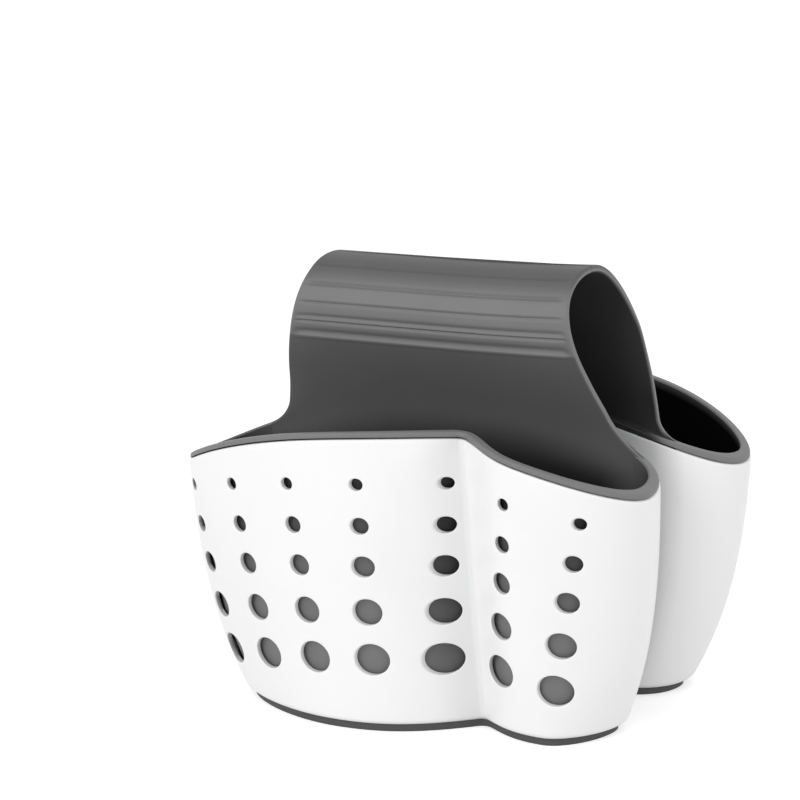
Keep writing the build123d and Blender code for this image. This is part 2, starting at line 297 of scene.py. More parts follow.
@dataclass
class Surface:
    """Collects grids of points and turns them into one closed mesh."""

    points: list[Array] = field(default_factory=list)
    faces: list[Array] = field(default_factory=list)
    finishes: list[Array] = field(default_factory=list)
    triangles: list[Array] = field(default_factory=list)
    shades: list[Array] = field(default_factory=list)
    count: int = 0

    def grid(self, rows: Array, wrap: bool = False, finish: Array | None = None,
             shade: Array | float = 0.0) -> Array:
        """Add a grid of points with a face between each four neighbours.

        Args:
            rows: Points as an array of rows, columns and three coordinates.
            wrap: Whether the last column joins the first.
            finish: Number of each face's material, in rows and columns, or None for 0 on all.
            shade: How far each point's colour goes towards its shade, from 0 to 1.

        Returns:
            The points' numbers, as an array of rows and columns.
        """
        numbers = self.loose(rows, shade)
        columns = numbers.shape[1] if wrap else numbers.shape[1] - 1
        left, right = numbers[:, :columns], np.roll(numbers, -1, axis=1)[:, :columns]
        quads = np.stack([left[:-1], right[:-1], right[1:], left[1:]], axis=-1)
        self.faces.append(quads.reshape(-1, 4))
        kinds = np.broadcast_to(0 if finish is None else finish, quads.shape[:2])
        self.finishes.append(kinds.reshape(-1))
        return numbers

    def loose(self, rows: Array, shade: Array | float = 0.0) -> Array:
        """Add points without faces.

        Args:
            rows: Points, with their three coordinates as the last axis.
            shade: Each point's shade, from 0 to 1.

        Returns:
            The points' numbers, in the layout of the points.
        """
        numbers = self.count + np.arange(rows[..., 0].size).reshape(rows.shape[:-1])
        self.points.append(rows.reshape(-1, 3))
        self.shades.append(np.broadcast_to(shade, rows.shape[:-1]).reshape(-1))
        self.count += numbers.size
        return numbers

    def bridge(self, first: Array, second: Array) -> None:
        """Join two open rows of point numbers by a strip of faces."""
        self.faces.append(np.stack([first[:-1], first[1:], second[1:], second[:-1]], axis=-1))
        self.finishes.append(np.zeros(first.size - 1, int))

    def finish(self, name: str, side: Side, materials: Sequence[bpy.types.Material],
               sharp_angle: float = 50.0) -> bpy.types.Object:
        """Make the mesh object.

        The points are turned half a turn about Z for the back, scaled to metres and merged where
        grids share an edge. Normals then point outwards, and edges over an angle are sharp.

        Args:
            name: The piece's name.
            side: Basket that the piece belongs to.
            materials: Its finishes, in the order of the faces' numbers.
            sharp_angle: Angle between two faces over which their edge is sharp, in degrees.

        Returns:
            The new object, at the origin.
        """
        points = np.concatenate(self.points) * MM
        points[:, :2] *= side.value
        faces = np.concatenate(self.faces).tolist()
        finishes = np.concatenate(self.finishes)
        if self.triangles:
            extra = np.concatenate(self.triangles).tolist()
            faces += extra
            finishes = np.concatenate([finishes, np.zeros(len(extra), int)])
        mesh = bpy.data.meshes.new(name)
        mesh.from_pydata(points.tolist(), [], faces)
        for material in materials:
            mesh.materials.append(material)
        mesh.polygons.foreach_set("material_index", finishes.astype(np.int32))
        shade = mesh.attributes.new("shade", "FLOAT", "POINT")
        shade.data.foreach_set("value", np.concatenate(self.shades).astype(np.float32))
        work = bmesh.new()
        work.from_mesh(mesh)
        bmesh.ops.remove_doubles(work, verts=work.verts, dist=MERGE_DISTANCE)
        bmesh.ops.dissolve_degenerate(work, edges=work.edges, dist=SLIVER_LENGTH)
        bmesh.ops.recalc_face_normals(work, faces=work.faces)
        limit = np.radians(sharp_angle)
        for edge in work.edges:
            edge.smooth = len(edge.link_faces) == 2 and edge.calc_face_angle(0.0) < limit
        open_edges = sum(1 for edge in work.edges if len(edge.link_faces) != 2)
        work.to_mesh(mesh)
        work.free()
        mesh.polygons.foreach_set("use_smooth", np.ones(len(mesh.polygons), dtype=bool))
        mesh.update()
        if open_edges:
            LOG.warning("%s has %d open edges", name, open_edges)
        return add_object(name, mesh)


@dataclass(frozen=True)
class Taper:
    """A size that changes from a basket's rim to its foot."""

    rim: float
    foot: float

    def at(self, share: Array) -> Array:
        """Size at a share of the way down."""
        return self.rim + (self.foot - self.rim) * share


@dataclass(frozen=True)
class BasketPlan:
    """Outline of a basket seen from above, at any height.

    It runs counter-clockwise through eight curves, numbered by the whole part of the parameter u:
    0 divider wall, 1 left corner, 2 left end to the big lobe's front, 3 big lobe's flank, 4 crease,
    5 small lobe's flank, 6 small lobe's front to the right end, 7 right corner.
    """

    rim_height: float = 112.7
    rim_radius: float = 206.0
    gap: Taper = Taper(9.4, 12.6)
    left_reach: Taper = Taper(95.7, 75.4)
    left_depth: Taper = Taper(44.2, 35.5)
    big_front: Taper = Taper(87.0, 69.7)
    big_front_x: Taper = Taper(-27.0, -23.2)
    crease_x: Taper = Taper(24.1, 26.6)
    crease_depth: Taper = Taper(59.8, 44.3)
    small_front: Taper = Taper(76.7, 55.0)
    small_front_x: Taper = Taper(51.9, 53.7)
    right_reach: Taper = Taper(89.3, 73.2)
    right_depth: Taper = Taper(44.0, 26.0)
    left_corner: Taper = Taper(42.8, 24.3)
    right_corner: Taper = Taper(25.2, 17.4)
    front_share: Taper = Taper(0.53, 0.46)
    big_flank_angle: float = 47.0
    small_flank_angle: float = 34.5
    crease_radius: float = 2.0
    corner_share: float = 0.6
    lobe_handle_share: float = 0.42
    flank_handle_share: float = 0.3
    depth_power: float = 1.14
    reach_power: float = 3.14
    front_span: tuple[float, float] = (2.0, 7.0)     # from the left end to the right end
    halvings: int = 34
    rounds: int = 5              # in which a height and its x are worked out in turn
    end_lit: float = 0.6         # how much of the inside's shade the right end loses
    end_span: tuple[float, float] = (58.0, 72.0)

    def controls(self, height: Array, inset: Array) -> Array:
        """Control points of the eight curves.

        Each corner moves along its inward normal by the inset, and each handle gets shorter by the
        inset times 4/3 tan(turn / 4), as an arc's handle does.

        Args:
            height: Heights, one for each wanted point.
            inset: How far in from the shell's outer face, one for each.

        Returns:
            Array of eight curves, four control points, the points and two coordinates.
        """
        depth = (self.rim_height - height) / self.rim_height
        share = np.where(depth > 0, np.abs(depth) ** self.depth_power, depth)
        ends = np.clip(depth, 0, None) ** self.reach_power
        gap = self.gap.at(share)
        left, left_depth = self.left_reach.at(ends), self.left_depth.at(share)
        right, right_depth = self.right_reach.at(ends), self.right_depth.at(share)
        big_x, big = self.big_front_x.at(share), self.big_front.at(share)
        small_x, small = self.small_front_x.at(share), self.small_front.at(share)
        crease_x, crease_y = self.crease_x.at(share), self.crease_depth.at(share)
        left_corner, right_corner = self.left_corner.at(share), self.right_corner.at(share)
        front = self.front_share.at(share)
        big_angle = np.radians(self.big_flank_angle)
        small_angle = np.radians(self.small_flank_angle)
        turn = self.big_flank_angle + self.small_flank_angle
        cut_back = self.crease_radius * np.tan(np.radians(turn) / 2)
        crease = self.crease_radius * 4 / 3 * np.tan(np.radians(turn) / 4) + 0 * height
        big_run, small_run = crease_x - big_x, small_x - crease_x
        wall = (left + right - left_corner - right_corner) / 3
        lobe, flank = self.lobe_handle_share, self.flank_handle_share
        # each curve's start, x and y, its heading there, its first handle, its turn and last handle
        entries = (
            (right - right_corner, -gap, 180.0, wall, 0.0, wall),
            (left_corner - left, -gap, 180.0, self.corner_share * left_corner, 90.0,
             self.corner_share * (left_depth - gap)),
            (-left, -left_depth, 270.0, front * (big - left_depth), 90.0, front * (big_x + left)),
            (big_x, -big, 0.0, lobe * big_run, self.big_flank_angle,
             flank * big_run / np.cos(big_angle)),
            (crease_x - cut_back * np.cos(big_angle), -crease_y - cut_back * np.sin(big_angle),
             self.big_flank_angle, crease, -turn, crease),
            (crease_x + cut_back * np.cos(small_angle), -crease_y - cut_back * np.sin(small_angle),
             -self.small_flank_angle, flank * small_run / np.cos(small_angle),
             self.small_flank_angle, lobe * small_run),
            (small_x, -small, 0.0, front * (right - small_x), 90.0, front * (small - right_depth)),
            (right, -right_depth, 90.0, self.corner_share * (right_depth - gap), 90.0,
             self.corner_share * right_corner),
        )
        curves = np.empty((len(entries), 4, height.size, 2))
        for number, (x, y, heading, out, bend, into) in enumerate(entries):
            end_x, end_y, end_heading = entries[(number + 1) % len(entries)][:3]
            along, arriving = (np.array([np.cos(np.radians(angle)), np.sin(np.radians(angle))])
                               for angle in (heading, end_heading))
            trim = inset * 4 / 3 * np.tan(np.radians(bend) / 4)
            first = np.stack([x - along[1] * inset, y + along[0] * inset], axis=-1)
            last = np.stack([end_x - arriving[1] * inset, end_y + arriving[0] * inset], axis=-1)
            curves[number, 0] = first
            curves[number, 1] = first + (out - trim)[:, None] * along
            curves[number, 2] = last - (into - trim)[:, None] * arriving
            curves[number, 3] = last
        return curves

    def point(self, u: Array, height: Array | float, inset: Array | float) -> Array:
        """Points of the outline.

        A point is the cubic Bezier of curve number floor(u), at the rest of u.

        Args:
            u: Places along the outline.
            height: Their heights.
            inset: Their distances in from the shell's outer face.

        Returns:
            Points with their three coordinates as the last axis.
        """
        u, height, inset = np.broadcast_arrays(np.asarray(u, float), height, inset)
        shape = u.shape
        u, height, inset = u.ravel(), height.ravel(), inset.ravel()
        curve = np.floor(u).astype(int)
        controls = self.controls(height, inset)
        own = controls[curve % len(controls), :, np.arange(u.size)].transpose(1, 0, 2)
        flat = bezier(*own, (u - curve)[:, None])
        return np.concatenate([flat, height[:, None]], axis=1).reshape(shape + (3,))

    def find(self, x: Array, height: Array, inset: Array | float) -> Array:
        """Find where the front has a given x, by halving the interval.

        Args:
            x: The wanted x of each point.
            height: The points' heights.
            inset: Their distances in from the shell's outer face.

        Returns:
            Places along the outline.
        """
        low, high = (np.full(x.shape, end) for end in self.front_span)
        for _ in range(self.halvings):
            middle = (low + high) / 2
            before = self.point(middle, height, inset)[..., 0] < x
            low, high = np.where(before, middle, low), np.where(before, high, middle)
        return (low + high) / 2

    def rim(self, x: Array) -> Array:
        """Height of the shell's top edge, an arc seen from the front."""
        return self.rim_height - self.rim_radius + np.sqrt(self.rim_radius ** 2 - x ** 2)

    def end_fade(self, x: Array) -> Array:
        """Part of the inside's shade that is left, less towards the right end."""
        return 1 - self.end_lit * soft_step(x, *self.end_span)

    def ring(self, u: Array, inset: float, height: Callable[[Array], Array]) -> Array:
        """Closed line round the basket whose height depends on x.

        The height follows x and x follows the height, so the two are worked out in turn.

        Args:
            u: Places along the outline.
            inset: Distance in from the shell's outer face.
            height: Function from x to the height.

        Returns:
            The line's points.
        """
        line = self.point(u, self.rim_height, inset)
        for _ in range(self.rounds):
            line = self.point(u, height(line[..., 0]), inset)
        return line


@dataclass
class BasketShell:
    """Hard shell with its grid of round holes.

    Outer and inner skin are grids of cells. A cell with a hole is filled by rings that change from
    the cell's edge to the hole's circle, so faces follow the hole and its rounded edge.
    """

    plan: BasketPlan
    side: Side
    wall: float = 2.3
    foot: float = 3.0
    base_radius: float = 2.0
    inner_radius: float = 1.2
    ledge: float = 6.0
    top_radius: float = 0.7
    divisions: int = 10
    hole_pitch: float = 26.5
    hole_offset: float = -7.15
    hole_diameters: tuple[float, ...] = (12.3, 10.2, 8.0, 6.3, 4.6)
    hole_heights: tuple[float, ...] = (28.9, 47.4, 64.9, 80.4, 96.0)
    hole_shares: tuple[float, ...] = (0.835, 0.88, 0.924, 0.962, 1.0)
    row_radius: float = 300.0
    edge_radius: float = 0.55
    row_levels: tuple[float, ...] = (5.0, 14.0, 38.7, 56.7, 73.1, 88.6, 102.0)
    row_drops: tuple[float, ...] = (0.0, 0.6, 1.0, 1.0, 1.0, 1.0, 1.0)
    row_shares: tuple[float, ...] = (0.8, 0.81, 0.857, 0.9, 0.943, 0.981, 1.01, 1.03)
    hole_columns: tuple[int, ...] = (0, 1, 2, 3, 4, 6, 7)
    middle_hole: int = 3         # it lies at the offset, and the others a pitch apart
    plain_edges: tuple[tuple[int, float], ...] = (      # a cell's edge, and its place u
        (0, 2.0), (5, 4.0), (6, 5.0), (9, 7.0), (10, 8.0), (11, 9.0), (12, 10.0))
    hole_edges: tuple[tuple[int, float], ...] = (       # a cell's edge, in pitches from the middle
        (1, -2.5), (2, -1.5), (3, -0.5), (4, 0.5), (7, 2.5), (8, 3.4))
    ring_shares: tuple[float, ...] = (
        1.0, 0.88, 0.76, 0.64, 0.52, 0.4, 0.29, 0.19, 0.1, 0.04, 0.0)
    even_share: float = 0.6      # how evenly a hole's rays are spread
    arc_step: float = 18.0       # degrees, on the rim's and the holes' rounded edges
    base_step: float = 15.0
    gap_shade: float = 0.62      # on the wall that faces the narrow gap
    gap_span: tuple[float, float] = (15.5, 10.4)
    flank_shade: float = 0.2     # on the big lobe's flank, beside the crease
    flank_rise: tuple[float, float] = (-15.0, -2.0)
    flank_fall: tuple[float, float] = (0.5, 1.6)
    flank_depth: tuple[float, float] = (40.0, 46.0)

    def level(self, row: Array, x: Array, floor: float) -> Array:
        """Height of a line across the shell.

        Whole rows are lines between the rows of holes, which fall along an arc, and the rim's arc
        on top. Between two whole rows the height is their mix.

        Args:
            row: Places up the cells.
            x: Their x.
            floor: Height of row 0.

        Returns:
            The heights.
        """
        drop = self.row_radius - np.sqrt(self.row_radius ** 2 - x ** 2)
        levels = [level - share * drop for level, share in zip(self.row_levels, self.row_drops)]
        levels[0] = np.full_like(x, floor)
        levels.append(self.plan.rim(x) - self.top_radius)
        stack = np.stack(levels)
        whole = np.clip(np.floor(row).astype(int), 0, len(levels) - 2)
        part = row - whole
        low = np.take_along_axis(stack, whole[None], axis=0)[0]
        high = np.take_along_axis(stack, whole[None] + 1, axis=0)[0]
        return low + (high - low) * part

    def columns(self) -> Array:
        """Find where the cells' upright edges are.

        Returns:
            Places along the outline, for each edge and whole row.
        """
        rows = len(self.row_levels) + 1
        table = np.empty((len(self.plain_edges) + len(self.hole_edges), rows))
        for column, place in self.plain_edges:
            table[column] = place
        for column, step in self.hole_edges:
            x = np.array(self.row_shares) * (self.hole_offset + self.hole_pitch * step)
            height = self.level(np.arange(rows, dtype=float), x, self.row_levels[0])
            table[column] = self.plan.find(x, height, 0.0)
        return table

    def skin(self, column: Array, row: Array, inset: float, floor: float) -> tuple[Array, Array]:
        """Place along the outline and height for places in the grid of cells.

        Args:
            column: Places across the cells.
            row: Places up the cells.
            inset: Depth of the skin under the outer face.
            floor: Height of row 0.

        Returns:
            The outline's parameter and the height.
        """
        table = self._table
        column, row = np.broadcast_arrays(np.asarray(column, float), np.asarray(row, float))
        across = np.clip(np.floor(column).astype(int), 0, table.shape[0] - 2)
        up = np.clip(np.floor(row).astype(int), 0, table.shape[1] - 2)
        a, b = column - across, row - up
        low = table[across, up] * (1 - a) + table[across + 1, up] * a
        high = table[across, up + 1] * (1 - a) + table[across + 1, up + 1] * a
        u = low * (1 - b) + high * b
        height = self.level(row, np.zeros_like(u), floor)
        for _ in range(self.plan.rounds):
            x = self.plan.point(u, height, inset)[..., 0]
            height = self.level(row, x, floor)
        return u, height

    def hole(self, surface: Surface, column: int, number: int, row: int) -> None:
        """Fill a cell's outer and inner skin round its hole, and join the two by the hole's wall.

        The circle lies in the front view. Rings between it and the cell's edge are mixes of the two
        in the outline's parameter and the height. The circle's edge is rounded by circles that get
        smaller as they go deeper.

        Args:
            surface: Where the faces go.
            column: The cell's column.
            number: The hole's number along its row, from the left.
            row: The row of holes, from the bottom.
        """
        diameter, share = self.hole_diameters[row], self.hole_shares[row]
        x = share * (self.hole_offset + self.hole_pitch * (number - self.middle_hole))
        z = self.hole_heights[row] - self.row_radius + np.sqrt(self.row_radius ** 2 - x ** 2)
        steps = np.arange(self.divisions) / self.divisions
        zero, one = np.zeros_like(steps), np.ones_like(steps)
        across = np.concatenate([steps, one, 1 - steps, zero]) + column
        up = np.concatenate([zero, steps, one, 1 - steps]) + row + 1
        edge_u, edge_height = self.skin(across, up, 0.0, self.row_levels[0])
        edge = self.plan.point(edge_u, edge_height, 0.0)
        natural = np.unwrap(np.arctan2(edge[:, 2] - z, edge[:, 0] - x))
        even = natural[0] + np.arange(natural.size) * 2 * np.pi / natural.size
        angle = (1 - self.even_share) * natural + self.even_share * even

        def circle(radius: float, inset: float) -> tuple[Array, Array]:
            """Circle's place along the outline, and height, on a skin at a depth."""
            height = z + radius * np.sin(angle)
            return self.plan.find(x + radius * np.cos(angle), height, inset), height

        fractions = np.array(self.ring_shares)[:, None]
        r = self.edge_radius
        outer_u, outer_height = circle(diameter / 2 + r, 0.0)
        inner_edge_u, inner_edge_height = self.skin(across, up, self.wall, self.row_levels[0])
        inner_u, inner_height = circle(diameter / 2, self.wall)
        rings = [self.plan.point(outer_u + (edge_u - outer_u) * fractions,
                                 outer_height + (edge_height - outer_height) * fractions, 0.0)]
        for turn in np.radians(np.arange(self.arc_step, 91.0, self.arc_step)):
            depth = r * (1 - np.cos(turn))
            rings.append(self.plan.point(*circle(diameter / 2 + r * (1 - np.sin(turn)), depth),
                                         depth)[None])
        rings.append(self.plan.point(*circle(diameter / 2, self.wall / 2), self.wall / 2)[None])
        rings.append(self.plan.point(
            inner_u + (inner_edge_u - inner_u) * fractions[::-1],
            inner_height + (inner_edge_height - inner_height) * fractions[::-1], self.wall))
        rows = np.concatenate(rings)
        surface.grid(rows, wrap=True, shade=self.shade(rows))

    def shade(self, rows: Array) -> Array:
        """Shade the wall that faces the narrow gap, and the big lobe's flank beside the crease.

        Args:
            rows: Points, with their three coordinates as the last axis.

        Returns:
            Each point's shade.
        """
        x, y, z = np.moveaxis(rows, -1, 0)
        crease = self.plan.crease_x.at((self.plan.rim_height - z) / self.plan.rim_height)
        flank = plateau(x - crease, self.flank_rise, self.flank_fall)
        return (self.gap_shade * soft_step(-y, *self.gap_span)
                + self.flank_shade * flank * soft_step(-y, *self.flank_depth))

    def build(self, material: bpy.types.Material) -> bpy.types.Object:
        """Build the shell: two skins of cells, holes, rounded rim and the ledge under the base.

        Args:
            material: Its finish.

        Returns:
            The new object.
        """
        self._table = self.columns()
        surface = Surface()
        fine = np.arange(self.divisions + 1) / self.divisions
        inner_floor = self.foot + self.wall + self.inner_radius
        cells = self._table.shape[0] - 1
        for column in range(cells):
            for row in range(len(self.row_levels)):
                if column in self.hole_columns and 1 <= row <= len(self.hole_heights):
                    self.hole(surface, column, self.hole_columns.index(column), row - 1)
                    continue
                for inset, floor in ((0.0, self.row_levels[0]), (self.wall, inner_floor)):
                    u, height = self.skin(column + fine[None, :], row + fine[:, None], inset, floor)
                    rows = self.plan.point(u, height, inset)
                    surface.grid(rows, shade=self.shade(rows))
        across = np.arange(cells * self.divisions + 1) / self.divisions
        top = len(self.row_levels)
        u_top = self.skin(across, np.full_like(across, top), 0.0, self.row_levels[0])[0]
        arc = np.radians(np.arange(0.0, 91.0, self.arc_step))
        radius = self.top_radius
        rim = [(radius * (1 - np.cos(a)), radius * np.sin(a) - radius) for a in arc]
        rim += [(self.wall - radius / 2, 0.0), (self.wall, -radius)]
        rows = np.stack([
            self.plan.ring(u_top, inset, lambda x, lift=lift: self.plan.rim(x) + lift)
            for inset, lift in rim])
        surface.grid(rows, shade=self.shade(rows))
        u_base = self.skin(across, np.zeros_like(across), 0.0, self.row_levels[0])[0]
        base = self.base_radius
        arc = np.radians(np.arange(0.0, 91.0, self.base_step))
        under = [(base * (1 - np.cos(a)), self.foot + base * (1 - np.sin(a))) for a in arc]
        ledge = self.wall + self.ledge
        floor = self.foot + self.wall
        under += [(ledge, self.foot), (ledge, floor)]
        under += [(self.wall + self.inner_radius * (1 - np.sin(a)),
                   floor + self.inner_radius * (1 - np.cos(a))) for a in arc]
        rows = np.stack([self.plan.point(u_base, height, inset) for inset, height in under])
        surface.grid(rows, shade=self.shade(rows))
        return surface.finish(f"{self.side.word}_shell_skin", self.side, [material])


@dataclass
class BasketLiner:
    """Soft cup with a thick rounded lip over the shell's top edge, and a floor with its drains."""

    plan: BasketPlan
    side: Side
    outer_inset: float = 3.3     # so that a dark gap shows round the holes
    cup_inset: float = 4.5
    lip_inset: float = 0.5
    lip_height: float = 2.4
    lip_gap: float = 0.4
    lip_radius: float = 0.9
    groove_radius: float = 0.4   # where the wall turns out under the lip
    base: float = 5.5
    floor: float = 8.0
    edge_radius: float = 1.2
    arc_step: float = 15.0       # degrees
    outer_shares: tuple[float, ...] = (0.15, 0.3, 0.5, 0.7, 0.85, 0.95, 1.0)
    inner_shares: tuple[float, ...] = (0.97, 0.93, 0.86, 0.75, 0.6, 0.45, 0.3, 0.18, 0.09, 0.03)
    drain_radius: float = 3.0
    drain_sides: int = 24
    drain_shade: float = 0.8
    upper_shade: float = 0.97    # behind the upper holes, fading out over a span below the rim
    upper_span: tuple[float, float] = (10.0, 66.0)
    flank_shade: float = 0.93    # behind the big lobe's flank, rising between two heights
    flank_heights: tuple[float, float] = (-8.5, 69.0)
    flank_x: float = 18.5
    flank_width: float = 10.0
    lobe_depth: tuple[float, float] = (16.0, 34.0)      # from the divider wall to the lobes
    lobe_span: tuple[float, float] = (-2.4, -0.4)       # below the rim, as the next one
    wall_span: tuple[float, float] = (2.0, 22.0)
    wall_shade: float = 0.95
    loop_shade: float = 0.97     # on the lip, under the saddle's loop
    loop_depth: tuple[float, float] = (-13.6, -11.6)
    loop_rise: tuple[float, float] = (-86.0, -79.0)
    loop_fall: tuple[float, float] = (66.0, 74.0)
    groove_shade: float = 0.9    # on the first lines of the lip, over the shell's edge
    groove_lines: int = 5
    drains: tuple[tuple[float, float], ...] = (
        (-45, -27), (-30, -27), (-15, -27), (0, -27), (15, -27), (30, -27), (45, -27),
        (-45, -41), (-30, -41), (-15, -41), (0, -41), (52, -41), (-30, -54), (-15, -54))
    samples: tuple[int, ...] = (26, 26, 34, 26, 10, 18, 30, 20)

    def profile(self) -> list[tuple[float, Callable[[Array], Array]]]:
        """Cut through the wall, from the underside up the outside, over the lip and down inside.

        Heights near the rim follow its arc, heights at the base are level, and those between are
        mixes of the two.

        Returns:
            Entries, each an inset and the height as a function of x.
        """
        rim = self.plan.rim
        cut: list[tuple[float, Callable[[Array], Array]]] = []
        arc = np.arange(0.0, 91.0, self.arc_step)

        def bottom(inset: float, low: float, angles: Array) -> None:
            """Add the quarter circle between a wall and a level face.

            Args:
                inset: The wall's inset.
                low: The face's height.
                angles: Degrees round the circle, from the wall.
            """
            for angle in np.radians(angles):
                height = low + self.edge_radius * (1 - np.sin(angle))
                cut.append((inset + self.edge_radius * (1 - np.cos(angle)),
                            lambda x, h=height: np.full_like(x, h)))

        def wall(inset: float, low: float, lift: float, shares: Sequence[float]) -> None:
            """Add entries up or down a wall, from a level height to the rim's arc."""
            for share in shares:
                cut.append((inset, lambda x, s=share: low + (rim(x) + lift - low) * s))

        def corner(inset: float, lift: float, across: float, up: float, start: float) -> None:
            """Add a quarter circle near the rim.

            Args:
                inset: Its centre's inset.
                lift: Its centre's height above the rim's arc.
                across: Its radius towards the inside, below 0 towards the outside.
                up: Its radius upwards.
                start: The angle that it starts from, in degrees.
            """
            for angle in np.radians(start + arc):
                cut.append((inset + across * np.cos(angle),
                            lambda x, h=lift + up * np.sin(angle): rim(x) + h))

        radius, edge = self.lip_radius, self.groove_radius
        bottom(self.outer_inset, self.base, arc[::-1])
        wall(self.outer_inset, self.base + self.edge_radius, self.lip_gap, self.outer_shares)
        first = len(cut)
        corner(self.lip_inset + edge, self.lip_gap + edge, -edge, edge, 270.0)
        corner(self.lip_inset + radius, self.lip_height - radius, -radius, radius, 0.0)
        corner(self.cup_inset - radius, self.lip_height - radius, -radius, radius, 90.0)
        self._lip_rows = slice(first, len(cut) - 1)
        self._cup_rows = slice(len(cut) - 1, None)
        wall(self.cup_inset, self.floor + self.edge_radius, self.lip_height - radius,
             self.inner_shares)
        bottom(self.cup_inset, self.floor, arc)
        return cut

    def shade(self, rings: Array) -> Array:
        """Shade of the liner's points.

        All of it is painted shade. Outside, the wall is painted darker behind the upper holes than
        behind the lower ones, and darkest at the big lobe's flank. The lip is painted dark under
        the saddle's loop, and where it turns over the shell's edge. Inside, the cup is painted dark
        below its lip, sooner on the lobes than on the divider wall.

        Args:
            rings: The cut's lines round the basket, from the underside on.

        Returns:
            Each point's shade, from 0 to 1.
        """
        x, y, z = np.moveaxis(rings, -1, 0)
        below = self.plan.rim(x) - z
        shade = np.zeros(x.shape)
        first = self._lip_rows.start
        flank = np.exp(-((x - self.flank_x) / self.flank_width) ** 2)
        rising = np.interp(z, self.flank_heights, (0.0, self.flank_shade))
        open_part = 1 - self.upper_shade * (1 - soft_step(below, *self.upper_span))
        shade[:first] = (1 - open_part * (1 - rising * flank))[:first]
        far = soft_step(-y, *self.lobe_depth)
        lobes = soft_step(below, *self.lobe_span) * far
        wall = self.wall_shade * soft_step(below, *self.wall_span) * (1 - far)
        shade[self._cup_rows] = (lobes + wall * self.plan.end_fade(x))[self._cup_rows]
        under = self.loop_shade * soft_step(y, *self.loop_depth)
        under *= plateau(x, self.loop_rise, self.loop_fall)
        shade[self._lip_rows] = under[self._lip_rows]
        shade[first:first + self.groove_lines] = self.groove_shade
        return np.clip(shade, 0, 1)

    def drain_circles(self) -> list[Array]:
        """Circles about the drain holes' centres.

        Returns:
            Their points, as (x, y).
        """
        angle = np.linspace(0, 2 * np.pi, self.drain_sides, endpoint=False)
        circle = self.drain_radius * np.stack([np.cos(angle), np.sin(angle)], axis=-1)
        return [circle + np.array(place, float) for place in self.drains]

    def plate(self, surface: Surface, edge: Array, height: float, shade: float) -> None:
        """Fill a level outline with triangles that keep to the drain holes' edges.

        The triangles inside the holes are kept, so a thin disc closes each of them.

        Args:
            surface: Where the triangles go.
            edge: Points of the outline.
            height: The plate's height.
            shade: Its shade, from 0 to 1.
        """
        loops = [edge[:, :2]] + self.drain_circles()
        points = np.concatenate(loops)
        edges = []
        start = 0
        for loop in loops:
            numbers = start + np.arange(len(loop))
            edges += np.stack([numbers, np.roll(numbers, -1)], axis=-1).tolist()
            start += len(loop)
        flat, _, faces, *_ = delaunay_2d_cdt([Vector(p) for p in points], edges, [],
                                             WHOLE_OUTLINE, CLOSE_POINTS)
        rows = np.array([(p.x, p.y, height) for p in flat])
        numbers = surface.loose(rows, shade)
        surface.triangles.append(numbers[np.array([list(face) for face in faces])])

    def build(self, materials: Sequence[bpy.types.Material]) -> bpy.types.Object:
        """Build the liner: its cut carried round the plan, two floor faces and the drains' walls.

        Args:
            materials: Its finishes, in the order of Finish. The floor has the broad one.

        Returns:
            The new object.
        """
        surface = Surface()
        u = np.concatenate([number + np.arange(count) / count
                            for number, count in enumerate(self.samples)])
        rings = np.stack([self.plan.ring(u, inset, height) for inset, height in self.profile()])
        finish = np.zeros(len(rings) - 1, int)
        # the outer wall gets the ribbed finish's paler colour: painted light
        finish[:self._lip_rows.start] = Finish.RIBBED
        # the lip's edge finish has a lighter colour: a painted highlight
        finish[self._lip_rows] = Finish.EDGE
        finish[self._cup_rows] = Finish.INSIDE
        surface.grid(rings, wrap=True, finish=finish[:, None], shade=self.shade(rings))
        self.plate(surface, rings[0], self.base, 0.0)
        self.plate(surface, rings[-1], self.floor, 1.0)
        for circle in self.drain_circles():
            wall = np.stack([np.column_stack([circle, np.full(self.drain_sides, height)])
                             for height in (self.base, self.floor)])
            surface.grid(wall, wrap=True, shade=self.drain_shade)
        return surface.finish(f"{self.side.word}_liner_skin", self.side, materials)


